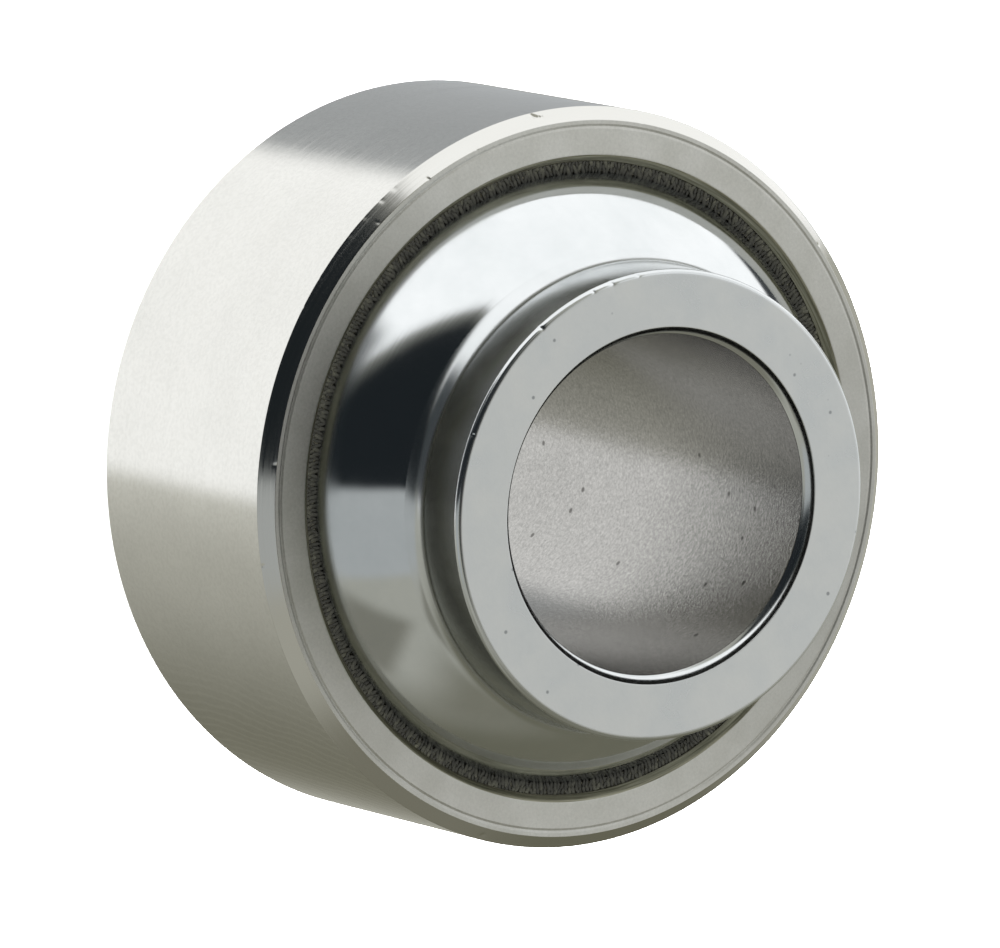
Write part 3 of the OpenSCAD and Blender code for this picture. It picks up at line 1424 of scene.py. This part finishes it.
def make_world(size):
    """The studio's surround, as light by direction, with plain white behind for the camera."""
    world = bpy.data.worlds.new("studio")
    bpy.context.scene.world = world
    world.use_nodes = True
    tree = world.node_tree
    tree.nodes.clear()
    axes = picture_axes(size)
    direction = add_node(tree, "ShaderNodeTexCoord").outputs["Generated"]
    light = add_node(
        tree,
        "ShaderNodeVectorMath",
        {0: linear(ROOM_COLOUR)[:3], "Scale": ROOM_STRENGTH},
        operation="SCALE",
    ).outputs["Vector"]
    for name, colour, strength, softness, corners in CARDS:
        inside = 1.0
        places = [studio_direction(*corner) for corner in corners]
        for first, second in zip(places, places[1:] + places[:1]):
            edge = first.cross(second).normalized()
            normal = axes[0] * edge.x + axes[1] * edge.y + axes[2] * edge.z
            side = add_node(
                tree, "ShaderNodeVectorMath", {0: direction, 1: normal}, operation="DOT_PRODUCT"
            )
            reach = math.sin(math.radians(softness))
            mask = add_node(
                tree,
                "ShaderNodeMapRange",
                {"Value": side.outputs["Value"], "From Min": -reach, "From Max": reach},
                interpolation_type="SMOOTHSTEP",
            ).outputs["Result"]
            inside = add_node(
                tree, "ShaderNodeMath", {0: inside, 1: mask}, operation="MULTIPLY", label=name
            ).outputs["Value"]
        shade = [channel * strength for channel in linear(colour)[:3]]
        light = add_node(
            tree,
            "ShaderNodeMix",
            {4: light, 5: shade, 0: inside},
            data_type="VECTOR",
        ).outputs[1]
    surround = add_node(tree, "ShaderNodeBackground", {"Color": light, "Strength": 1.0})
    plain = add_node(tree, "ShaderNodeBackground", {"Color": (1.0, 1.0, 1.0, 1.0), "Strength": 1.0})
    seen = add_node(tree, "ShaderNodeLightPath").outputs["Is Camera Ray"]
    chosen = add_node(
        tree,
        "ShaderNodeMixShader",
        {0: seen, 1: surround.outputs["Background"], 2: plain.outputs["Background"]},
    )
    add_node(tree, "ShaderNodeOutputWorld", {"Surface": chosen.outputs["Shader"]})


def make_floor(size):
    """A plain pale floor under the ball's lower end, kept out of the steel's reflections."""
    half = size.floor_size / 2
    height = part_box("ball")[0].z
    mesh = bpy.data.meshes.new("floor")
    mesh.from_pydata(
        [(-half, -half, height), (half, -half, height), (half, half, height), (-half, half, height)],
        [],
        [(0, 1, 2, 3)],
    )
    floor = bpy.data.objects.new("floor", mesh)
    bpy.context.scene.collection.objects.link(floor)
    material = bpy.data.materials.new("Matt painted board")
    material.use_nodes = True
    tree = material.node_tree
    shader = tree.nodes["Principled BSDF"]
    shader.inputs["Roughness"].default_value = 0.9
    fine = add_node(
        tree,
        "ShaderNodeTexNoise",
        {"Vector": object_millimetres(tree), "Scale": 0.4, "Detail": 3.0},
    ).outputs["Fac"]
    tree.links.new(
        add_node(
            tree,
            "ShaderNodeMix",
            {"Factor": fine, "A": linear("#fbfbfb"), "B": linear("#ffffff")},
            data_type="RGBA",
        ).outputs["Result"],
        shader.inputs["Base Color"],
    )
    mesh.materials.append(material)
    floor.visible_glossy = False


def make_floor_light(size):
    """A broad lamp above that whitens the floor and isn't mirrored in the steel."""
    lamp = bpy.data.lights.new("floor_lamp", "AREA")
    lamp.shape = "DISK"
    lamp.size = size.lamp_size
    lamp.energy = size.lamp_power
    holder = bpy.data.objects.new("floor_lamp", lamp)
    holder.location = (0, 0, size.lamp_height)
    holder.visible_glossy = False
    bpy.context.scene.collection.objects.link(holder)


def make_camera(size):
    """The camera at the photograph's angle, with the sphere's centre on its own pixel."""
    right, up, back = picture_axes(size)
    camera = bpy.data.cameras.new("camera")
    camera.sensor_width = SENSOR_WIDTH
    camera.lens = LENS_PIXELS / PICTURE_WIDTH * SENSOR_WIDTH
    camera.clip_start = 0.01
    camera.clip_end = 10.0
    scale = size.distance / LENS_PIXELS
    aside = (SPHERE_PIXEL[0] - PICTURE_WIDTH / 2) * scale
    above = (PICTURE_HEIGHT / 2 - SPHERE_PIXEL[1]) * scale
    place = back * size.distance - right * aside - up * above
    holder = bpy.data.objects.new("camera", camera)
    bpy.context.scene.collection.objects.link(holder)
    turn = Matrix((right, up, back)).transposed().to_4x4()
    holder.matrix_world = Matrix.Translation(place) @ turn
    bpy.context.scene.camera = holder


class BEARING_OT_stage(bpy.types.Operator):
    """Set the camera, the floor and the studio's light"""

    bl_idname = "bearing.stage"
    bl_label = "Stage"

    def execute(self, context):
        size = context.scene.bearing_stage
        make_camera(size)
        make_floor(size)
        make_floor_light(size)
        make_world(size)
        context.scene.view_settings.view_transform = "Standard"
        return {"FINISHED"}


class BEARING_PT_panel(bpy.types.Panel):
    """Lists the bearing's pieces in the sidebar"""

    bl_label = "Bearing"
    bl_space_type = "VIEW_3D"
    bl_region_type = "UI"
    bl_category = "Bearing"

    def draw(self, context):
        for operator in OPERATORS:
            self.layout.operator(operator.bl_idname)


OPERATORS = (BEARING_OT_stage, BEARING_OT_ball, BEARING_OT_liner, BEARING_OT_ring)
SETTINGS = {
    "bearing_ball": BallSettings,
    "bearing_liner": LinerSettings,
    "bearing_ring": RingSettings,
    "bearing_stage": StageSettings,
}


def register():
    for name, group in SETTINGS.items():
        bpy.utils.register_class(group)
        setattr(bpy.types.Scene, name, PointerProperty(type=group))
    for operator in OPERATORS:
        bpy.utils.register_class(operator)
    bpy.utils.register_class(BEARING_PT_panel)


def unregister():
    bpy.utils.unregister_class(BEARING_PT_panel)
    for operator in reversed(OPERATORS):
        bpy.utils.unregister_class(operator)
    for name, group in reversed(SETTINGS.items()):
        delattr(bpy.types.Scene, name)
        bpy.utils.unregister_class(group)


def main():
    register()
    bpy.ops.bearing.stage()
    bpy.ops.bearing.ball()
    bpy.ops.bearing.liner()
    bpy.ops.bearing.ring()


if __name__ == "__main__":
    main()
